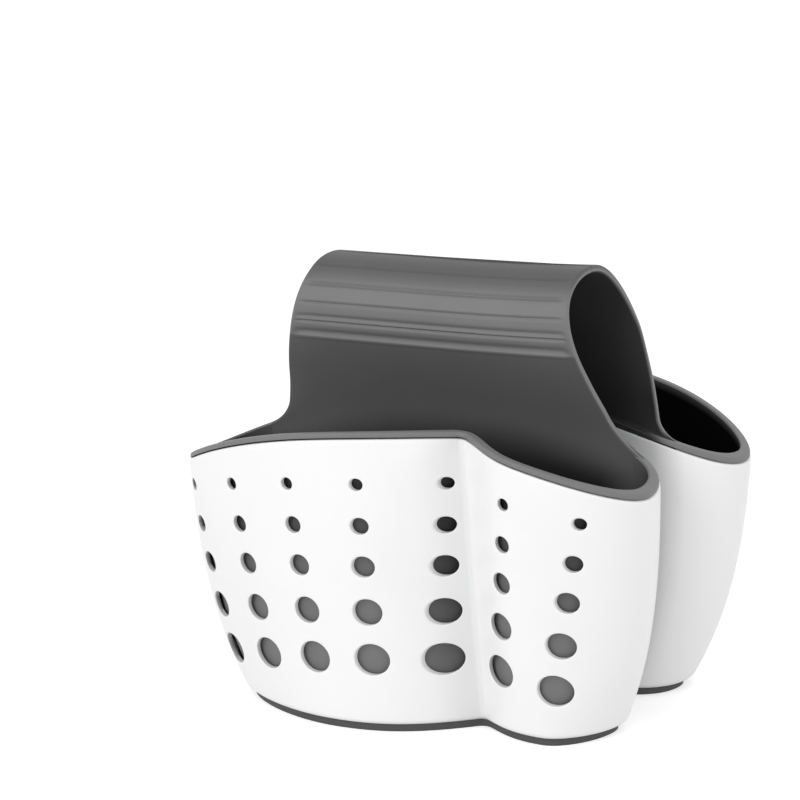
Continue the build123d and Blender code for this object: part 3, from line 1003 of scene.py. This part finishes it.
@dataclass
class Saddle:
    """Ribbed saddle: a band that loops from one basket's wall over to the other's.

    Seen from the end it is six curves, numbered by the whole part of the parameter s: 0 front foot,
    1 front leg, 2 front of the crest, 3 back of the crest, 4 back leg, 5 back foot.
    """

    plan: BasketPlan
    wall: float = 2.8
    height: float = 168.2
    crest_y: float = -6.0
    front_bulge: tuple[float, float] = (-31.2, 150.5)
    back_bulge: tuple[float, float] = (24.3, 146.0)
    foot: tuple[float, float] = (14.52, 88.0)     # just proud of the liner's inner wall
    ankle: tuple[float, float] = (14.25, 98.0)
    root_y: float = 9.85         # just proud of the lip's outer face
    root_slope: float = 0.05     # lower down the root stays inside the shell's wall, which slopes
    front_handles: tuple[float, float] = (0.36, 0.267)
    back_handles: tuple[float, float] = (0.74, 0.24)
    crest_handles: tuple[float, float] = (0.6, 0.55)
    ankles: tuple[float, float] = (1.0, 5.0)         # places along the loop, as the next two
    top: float = 3.0
    end: float = 6.0
    left_edge: tuple[tuple[float, float], ...] = (
        (-70.0, 109.0), (-69.2, 115.5), (-67.8, 122.5), (-65.3, 130.2), (-61.4, 139.8),
        (-58.0, 148.4), (-55.5, 156.3), (-54.0, 163.0), (-53.7, 168.2))
    right_edge: tuple[tuple[float, float], ...] = (
        (62.0, 114.5), (58.9, 122.7), (57.0, 129.7), (55.6, 136.8), (54.8, 145.0), (54.4, 153.0),
        (53.9, 161.0), (53.7, 168.2))
    left_flare: float = 6.5
    right_flare: float = 14.0
    flare_sunk: float = 0.15     # how far the flare's end lies under the lip's top
    flare_handles: tuple[float, float] = (0.42, 0.5)
    flare_points: int = 40
    edge_points: int = 9         # between two of the given ones
    lip_arc: float = 208.4
    lip_top: float = 115.1
    back_drop: float = 2.2
    corner_span: tuple[float, float] = (0.0, 17.0)   # above the lip, where the shift fades out
    edge_radius: float = 0.9
    near_edge: tuple[float, ...] = (
        0, 0.06, 0.15, 0.28, 0.45, 0.7, 1.0, 1.5, 2.2, 3.2, 4.5, 6.5, 9.0)
    between: int = 30            # columns between the two margins
    spacing: float = 0.3         # of the rows along the loop
    search_points: int = 4001    # among which a height is looked up on half the loop
    length_points: int = 2000    # along which a stretch's length is added up
    sag: float = 1.3             # the soft loop hangs this much lower at its left end
    sag_reach: float = 52.0
    lean: float = 3.0            # and it leans this far towards that end
    bend_span: tuple[float, float] = (112.0, 162.0)  # heights over which it comes to lean and sag
    joined_span: tuple[float, float] = (-1.5, 0.0)   # above the lip, from joined to free
    groove_span: tuple[float, float] = (0.8, 5.0)    # from the edge, where the grooves deepen
    # the edge finish's lighter colour paints a highlight on these columns
    highlight_columns: int = 4        # at each edge of the outer face, and half as many round it
    ribs: tuple[tuple[float, float, float], ...] = (
        (164.8, 0.5, 1.1), (161.2, -0.35, 2.6), (159.0, 1.0, 1.6), (153.0, -0.2, 1.6),
        (151.9, 0.5, 1.1), (146.3, 0.7, 2.0), (145.0, -0.25, 0.9), (144.2, 0.7, 1.1),
        (139.6, 0.9, 3.2), (137.6, -0.3, 1.4))
    # above this height the band gets the paler ribbed finish: painted light from above
    ribbed_from: float = 138.0
    parted: tuple[float, float] = (164.6, 152.0)     # heights at which the stretches part
    loop_shade: float = 0.7      # inside the loop at its top, and 1 at its bottom
    loop_span: tuple[float, float] = (115.0, 160.0)
    lit_edge: tuple[float, float] = (0.15, 0.9)      # the loop's edge catches light
    lit_above: tuple[float, float] = (0.0, 2.5)
    root_shade: float = 0.05
    root_span: tuple[float, float] = (-6.0, 22.0)
    crest_shade: float = 0.56
    crest_span: tuple[float, float] = (157.0, 167.0)
    cup_shade: float = 0.97
    cup_span: tuple[float, float] = (2.0, 20.0)

    def curves(self) -> Array:
        """Work out the outer face, seen from the end.

        Returns:
            Six curves of four control points, as (y, z).
        """
        points = ((-self.foot[0], self.foot[1]), (-self.ankle[0], self.ankle[1]), self.front_bulge,
                  (self.crest_y, self.height), self.back_bulge, self.ankle, self.foot)
        tilt = np.arctan2(self.foot[0] - self.ankle[0], self.ankle[1] - self.foot[1])
        headings = np.radians([90, 90, 90, 0, -90, -90, -90])
        headings += tilt * np.array([-1, -1, 0, 0, 0, 1, 1])
        front, back = self.crest_handles
        rise = [bulge[1] - self.ankle[1] for bulge in (self.front_bulge, self.back_bulge)]
        straight = (self.ankle[1] - self.foot[1]) / 3
        handles = (
            (straight, straight),
            (self.front_handles[0] * rise[0], self.front_handles[1] * rise[0]),
            (front * (self.height - self.front_bulge[1]),
             front * (self.crest_y - self.front_bulge[0])),
            (back * (self.back_bulge[0] - self.crest_y), back * (self.height - self.back_bulge[1])),
            (self.back_handles[1] * rise[1], self.back_handles[0] * rise[1]),
            (straight, straight))
        curves = []
        for number, (out, into) in enumerate(handles):
            along, arriving = (np.array([np.cos(angle), np.sin(angle)])
                               for angle in headings[number:number + 2])
            first, last = np.array(points[number]), np.array(points[number + 1])
            curves.append([first, first + along * out, last - arriving * into, last])
        return np.array(curves)

    def along(self, s: Array) -> Array:
        """Points of the outer face at places along the loop, as (y, z)."""
        number = np.clip(np.floor(s).astype(int), 0, len(self.outer) - 1)
        return bezier(*self.outer[number].transpose(1, 0, 2), (s - number)[:, None])

    def inward(self, s: Array) -> Array:
        """Unit normals of the outer face, which point to the loop's inside.

        Args:
            s: Places along the loop.

        Returns:
            The normals, as (y, z).
        """
        step = 1e-4
        ahead, behind = (self.along(np.clip(s + way, 0, self.end)) for way in (step, -step))
        travel = ahead - behind
        travel /= np.hypot(*travel.T)[:, None]
        return np.stack([travel[:, 1], -travel[:, 0]], axis=-1)

    def lip(self, x: Array) -> Array:
        """Height of the lip's top, an arc seen from the front."""
        return self.lip_top - self.lip_arc + np.sqrt(self.lip_arc ** 2 - x ** 2)

    def place(self, height: float, side: Side) -> float:
        """Find where the outer face has a height.

        Args:
            height: The height on the front. The same place on the back lies lower by the drop.
            side: The front or the back half.

        Returns:
            The place along the loop.
        """
        ankle, drop = ((self.ankles[0], 0.0) if side is Side.FRONT
                       else (self.ankles[1], self.back_drop))
        s = np.linspace(ankle, self.top, self.search_points)
        return float(np.interp(height - drop, self.along(s)[:, 1], s))

    def edge(self, way: float) -> Array:
        """Edge of the front half, seen from the front.

        It runs from low down in the lip, along the flare and up to the crest. The flare is a cubic
        Bezier that follows the lip's top at first and ends along the edge above. That edge is a
        Catmull-Rom curve through the given points.

        Args:
            way: -1 for the left edge, 1 for the right one.

        Returns:
            Points as (x, z).
        """
        upper = np.array(self.left_edge if way < 0 else self.right_edge)
        reach = self.left_flare if way < 0 else self.right_flare
        start = upper[0]
        end_x = start[0] + way * reach
        slope = np.sqrt(1 - (end_x / self.lip_arc) ** 2)
        end = np.array([end_x, self.lip(end_x) - self.flare_sunk])
        tangent = (start - upper[1]) / np.hypot(*(start - upper[1]))
        first, last = self.flare_handles
        second = start + first * (start[1] - end[1]) * tangent
        third = end + last * reach * np.array([-way * slope, abs(end_x) / self.lip_arc])
        flare = bezier(start, second, third, end, np.linspace(0, 1, self.flare_points)[:, None])
        padded = np.concatenate([2 * upper[:1] - upper[1:2], upper, 2 * upper[-1:] - upper[-2:-1]])
        t = np.linspace(0, 1, self.edge_points)[1:, None]
        rise = [catmull_rom(*padded[number:number + 4], t) for number in range(len(padded) - 3)]
        return np.concatenate([[[end_x, 0.0]], flare[::-1], *rise])

    def corner_shift(self, x: Array, z: Array) -> Array:
        """How far the front half moves towards the front so that it follows the basket's corners.

        Past the straight stretch of the divider wall the lip curves away, and the band's root goes
        with it. The shift fades out above the lip.

        Args:
            x: Points' x.
            z: Their heights.

        Returns:
            The shifts, below 0 towards the front.
        """
        u = np.linspace(7.0, 10.0, 600)      # from the right corner over the wall to the left one
        wall = self.plan.point(u, self.plan.rim_height, 0.0)
        order = np.argsort(wall[:, 0])
        away = np.interp(x, wall[order, 0], wall[order, 1]) + self.plan.gap.rim
        return away * (1 - soft_step(z - self.lip(x), *self.corner_span))

    def clearance(self, x: Array, z: Array) -> Array:
        """Distance of points to the nearer edge in the front view, to the nearest of its runs.

        Args:
            x: Points' x, in rows and columns.
            z: Each row's height.

        Returns:
            The distances.
        """
        gap = np.full(x.shape, np.inf)
        for line in self.edges:
            for first, last in zip(line[1:-1], line[2:]):
                run = last - first
                along_x, along_z = x - first[0], (z - first[1])[:, None]
                t = np.clip((along_x * run[0] + along_z * run[1]) / (run @ run), 0, 1)
                gap = np.minimum(gap, np.hypot(along_x - t * run[0], along_z - t * run[1]))
        return gap

    def shade(self, x: Array, z: Array, above: Array, gap: Array) -> Array:
        """Shade of the band's points.

        The outer face is dark deep in the cup, a little at the root, and more towards the crest's
        top. The inner face is dark in the loop, apart from its edges above the lip.

        Args:
            x: Points' x, in rows and columns.
            z: Their heights.
            above: Their heights above the lip.
            gap: Their distances to the nearer edge.

        Returns:
            Each point's shade, from 0 to 1: the outer face's columns, then the inner face's.
        """
        inside = 1 - soft_step(z, *self.loop_span)
        inside = self.loop_shade + (1 - self.loop_shade) * inside
        inside = inside * np.maximum(soft_step(gap, *self.lit_edge),
                                     1 - soft_step(above, *self.lit_above))
        deep = self.cup_shade * soft_step(-above, *self.cup_span) * self.plan.end_fade(x)
        cup = (deep + self.root_shade * (1 - soft_step(above, *self.root_span))
               + self.crest_shade * soft_step(z, *self.crest_span))
        return np.clip(np.concatenate([cup * np.ones_like(x), inside[:, ::-1]], axis=1), 0, 1)

    def section(self, start: float, end: float, name: str,
                materials: Sequence[bpy.types.Material]) -> bpy.types.Object:
        """Build a stretch of the band.

        Rows run along the loop and columns across it, between the two edges of the front view.
        Close to an edge both faces sink by r - sqrt(r^2 - (r - d)^2), where d is the distance to
        the edge in the front view, so the band's edges are rounded.

        Args:
            start: Where the stretch starts along the loop.
            end: Where it ends.
            name: The piece's name.
            materials: Its finishes, in the order of Finish.

        Returns:
            The new object.
        """
        dense = np.linspace(start, end, self.length_points)
        length = np.concatenate([[0], np.cumsum(np.hypot(*np.diff(self.along(dense), axis=0).T))])
        count = max(int(length[-1] / self.spacing), 2)
        s = np.interp(np.linspace(0, length[-1], count + 1), length, dense)
        outer, inward = self.along(s), self.inward(s)
        z = outer[:, 1]
        turn = np.where(s <= self.top, 1.0, -1.0)[:, None]
        low, high = (np.interp(z, line[:, 1], line[:, 0])[:, None] for line in self.edges)
        near = np.array(self.near_edge)
        margin = near[-1]
        middle = np.linspace(0, 1, self.between + 2)[1:-1]
        x = np.concatenate([low + near, low + margin + (high - low - 2 * margin) * middle,
                            high - near[::-1]], axis=1)
        gap = self.clearance(x, z)
        radius = self.edge_radius
        beside = radius - np.minimum(gap, radius)
        sunk = radius - np.sqrt(np.maximum(radius ** 2 - beside ** 2, 0))
        above = z[:, None] - self.lip(x)
        joined = 1 - soft_step(above, *self.joined_span)
        shift = self.corner_shift(x, z[:, None]) * turn
        bend = soft_step(z[:, None], *self.bend_span)
        world_x = x * turn - self.lean * bend
        drop = self.sag * (1 - np.clip(world_x / self.sag_reach, 0, 1) ** 2) * bend
        grooves = self.grooves(s)[:, None] * soft_step(gap, *self.groove_span)

        def face(y: Array, up: Array, deep: Array) -> Array:
            """Points of one face, sunk by a depth."""
            return np.stack([world_x, y + inward[:, 0, None] * deep + shift,
                             up + inward[:, 1, None] * deep - drop], axis=-1)

        outer_y, outer_z = outer[:, 0, None], outer[:, 1, None]
        inner_y = outer_y + inward[:, 0, None] * self.wall
        root_y = self.root_y + self.root_slope * np.maximum(-above, 0)
        inner_y = inner_y + (-turn * root_y - inner_y) * joined
        inner_z = outer_z + inward[:, 1, None] * self.wall * (1 - joined)
        faces = np.concatenate([face(outer_y, outer_z, sunk + grooves),
                                face(inner_y, inner_z, -sunk)[:, ::-1]], axis=1)
        columns = x.shape[1]
        # rows above the ribbed height get the paler finish: painted light from above
        ribbed = outer[:, 1] > self.ribbed_from - np.where(s <= self.top, 0.0, self.back_drop)
        finish = np.zeros(faces.shape[:2], int)
        finish[:, :columns] = np.where(ribbed, Finish.RIBBED, Finish.BROAD)[:, None]
        # these columns get the edge finish: a painted highlight along the band's edges
        pale = columns + np.arange(-self.highlight_columns, self.highlight_columns // 2)
        for half, edge in ((turn > 0, pale), (turn < 0, columns - 1 - pale)):
            finish[:, edge] = np.where(half, Finish.EDGE, finish[:, edge])
        shade = self.shade(x, z[:, None], above, gap)
        surface = Surface()
        numbers = surface.grid(faces, wrap=True, finish=finish[:-1], shade=shade)
        for end_row in (numbers[0], numbers[-1]):
            surface.bridge(end_row[:columns], end_row[columns:][::-1])
        return surface.finish(name, Side.FRONT, materials)

    def grooves(self, s: Array) -> Array:
        """Depth of the grooves between the ribs, which are raised where it is below 0.

        Each is a rounded valley, exp(-(distance / half the width)^2).

        Args:
            s: Places along the loop.

        Returns:
            The depths.
        """
        line = self.along(s)
        total = np.zeros_like(s)
        for height, deep, width in self.ribs:
            for side in Side:
                centre = self.along(np.array([self.place(height, side)]))[0]
                near = np.hypot(*(line - centre).T)
                own = (s <= self.top) if side is Side.FRONT else (s >= self.top)
                total += own * deep * np.exp(-(near / (0.5 * width)) ** 2)
        return total

    def build(self, materials: Sequence[bpy.types.Material]) -> list[bpy.types.Object]:
        """Build the crest, and an upper and a lower stretch on each side.

        Args:
            materials: Its finishes, in the order of Finish.

        Returns:
            The crest, the front shoulder and root, and the back shoulder and root.
        """
        self.outer = self.curves()
        self.edges = (self.edge(-1), self.edge(1))
        crest, middle = ([self.place(height, side) for side in Side] for height in self.parted)
        stretches = (
            ("saddle_crest_band", *crest),
            ("front_saddle_shoulder", middle[0], crest[0]),
            ("front_saddle_root", 0.0, middle[0]),
            ("back_saddle_shoulder", crest[1], middle[1]),
            ("back_saddle_root", middle[1], self.end))
        return [self.section(start, end, name, materials) for name, start, end in stretches]


def seen_directly(tree: bpy.types.NodeTree) -> bpy.types.NodeSocket:
    """Tell rays from the camera and from reflections apart from those that only light things.

    Args:
        tree: Node tree that gets the nodes.

    Returns:
        Socket that is 1 for the former and 0 for the latter.
    """
    path = add_node(tree, "ShaderNodeLightPath").outputs
    seen = add_node(tree, "ShaderNodeMath", {0: path["Is Camera Ray"], 1: path["Is Glossy Ray"]},
                    operation="MAXIMUM")
    return seen.outputs[0]


@dataclass(frozen=True)
class SoftBox:
    """Square area lamp, in metres and watts."""

    name: str
    place: tuple[float, float, float]
    aim: tuple[float, float, float]
    size: float
    power: float

    def build(self) -> None:
        """Put the lamp into the scene, turned towards its aim."""
        data = bpy.data.lights.new(self.name, "AREA")
        data.shape = "SQUARE"
        data.size = self.size
        data.energy = self.power
        lamp = add_object(self.name, data)
        lamp.location = self.place
        facing = Vector(self.aim) - Vector(self.place)
        lamp.rotation_euler = facing.to_track_quat("-Z", "Y").to_euler()


@dataclass(frozen=True)
class Studio:
    """Camera at the photograph's angle, pale floor and soft light."""

    camera_mm: tuple[float, float, float] = (401.4, -853.9, 303.4)
    view: tuple[float, float, float] = (-0.44257, 0.87451, -0.19840)
    lens: float = 114.13         # millimetres, as the sensor's width
    sensor: float = 36.0
    clip_end: float = 20.0       # metres, as the floor's reach
    floor_reach: float = 6.0
    floor_grey: float = 0.8
    floor_lift: float = 0.5      # added where it is seen, so that it is white
    surround: float = 0.68       # light from all around
    backdrop: float = 1.1        # white behind the object, where it is seen
    lamps: tuple[SoftBox, ...] = (
        SoftBox("key_light", (-0.45, -1.7, 0.85), (0, 0, 0.08), 1.1, 13.0),
        SoftBox("fill_light", (1.2, -1.3, 0.5), (0, 0, 0.08), 0.9, 3.0),
        SoftBox("edge_light", (1.5, 0.2, 0.6), (0, 0, 0.1), 0.7, 3.0))

    def camera(self) -> None:
        """Place the camera."""
        data = bpy.data.cameras.new("camera")
        data.lens = self.lens
        data.sensor_width = self.sensor
        data.clip_end = self.clip_end
        camera = add_object("camera", data)
        camera.location = Vector(self.camera_mm) * MM
        camera.rotation_euler = Vector(self.view).to_track_quat("-Z", "Y").to_euler()
        bpy.context.scene.camera = camera

    def floor(self) -> None:
        """Lay the pale floor. Seen by the camera it is lifted to white, and keeps the shadow."""
        material, tree = blank_material("studio_floor")
        lift = add_node(tree, "ShaderNodeMath", {0: seen_directly(tree), 1: self.floor_lift},
                        operation="MULTIPLY")
        matt = add_node(tree, "ShaderNodeBsdfDiffuse", {"Color": (*[self.floor_grey] * 3, 1.0)})
        glow = add_node(tree, "ShaderNodeEmission", {"Strength": lift.outputs[0]})
        both = add_node(tree, "ShaderNodeAddShader", {0: matt.outputs[0], 1: glow.outputs[0]})
        add_node(tree, "ShaderNodeOutputMaterial", {"Surface": both.outputs[0]})
        mesh = bpy.data.meshes.new("studio_floor")
        reach = self.floor_reach
        mesh.from_pydata([(-reach, -reach, 0), (reach, -reach, 0), (reach, reach, 0),
                          (-reach, reach, 0)], [], [(0, 1, 2, 3)])
        mesh.materials.append(material)
        add_object("studio_floor", mesh)

    def world(self) -> None:
        """Light from all around, and a white background for the camera."""
        world = bpy.data.worlds.new("studio")
        bpy.context.scene.world = world
        world.use_nodes = True
        tree = world.node_tree
        tree.nodes.clear()
        around, behind = (
            add_node(tree, "ShaderNodeBackground", {"Color": (1, 1, 1, 1), "Strength": strength})
            for strength in (self.surround, self.backdrop))
        mix = add_node(tree, "ShaderNodeMixShader",
                       {0: seen_directly(tree), 1: around.outputs[0], 2: behind.outputs[0]})
        add_node(tree, "ShaderNodeOutputWorld", {"Surface": mix.outputs[0]})

    def build(self) -> None:
        """Build the camera, floor, world and lamps."""
        self.camera()
        self.floor()
        self.world()
        for lamp in self.lamps:
            lamp.build()
        bpy.context.scene.view_settings.view_transform = "Standard"


def main() -> None:
    """Build the studio and pieces, attach baskets and crest to bodies, and hide the nodes replaced.
    """
    logging.basicConfig(level=logging.INFO, format="%(name)s: %(message)s")
    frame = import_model()
    Studio().build()
    plastic, rubber = SatinPolypropylene().build(), MouldedRubber().build()
    # lips and edges are smoother and get a lighter colour, a painted highlight; the ribs and the
    # liner's outer wall get a paler colour, painted light from above; down in the cups there is
    # hardly any gloss, and the shade colour is near black: painted shade
    edges = MouldedRubber(name="moulded_rubber_painted_edge_highlight", colour="#727272",
                          other_colour="#797979", roughness=0.5).build()
    ribs = MouldedRubber(name="moulded_rubber_painted_top_light", colour="#6F6F6F", other_colour="#787878",
                         roughness=0.55).build()
    inside = MouldedRubber(name="moulded_rubber_matt_inside_painted_shade", shade_colour="#030303",
                           specular=0.04).build()
    soles = MouldedRubber(name="moulded_rubber_sole", colour="#484848",
                          other_colour="#4E4E4E").build()
    plan = BasketPlan()
    for side in Side:
        shell = BasketShell(plan, side).build(plastic)
        liner = BasketLiner(plan, side).build([rubber, edges, ribs, inside])
        for piece, part, slot in ((shell, "shell", "white_pp"), (liner, "liner", "grey_tpr")):
            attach(piece, f"{side.word}_basket")
            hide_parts(f"{side.word}_{part}")
            LOG.info("built %s", piece.name)
        pad = frame["nodes"][f"{side.word}_foot_pad"]
        for place in pad.material_slots:
            place.material = soles
    crest, *others = Saddle(plan).build([rubber, edges, ribs])
    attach(crest, "crest")
    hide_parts("saddle_crest")
    LOG.info("built %s", crest.name)
    joints = (
        ("crest", "front_flex", (0, -22.0, 163.8), (0, -28.6, 157.8), "front_flex_band"),
        ("front_flex", "front_basket", (0, -28.8, 143.5), (0, -24.7, 133.3), "front_saddle_leg"),
        ("crest", "back_flex", (0, 13.7, 161.7), (0, 20.3, 155.5), "back_flex_band"),
        ("back_flex", "back_basket", (0, 22.6, 141.1), (0, 17.6, 131.3), "back_saddle_leg"))
    for piece, (upper, lower, start, end, node) in zip(others, joints):
        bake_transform(piece)
        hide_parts(node)
        LOG.info("built %s, from %s to %s", piece.name, upper, lower)


if __name__ == "__main__":
    main()
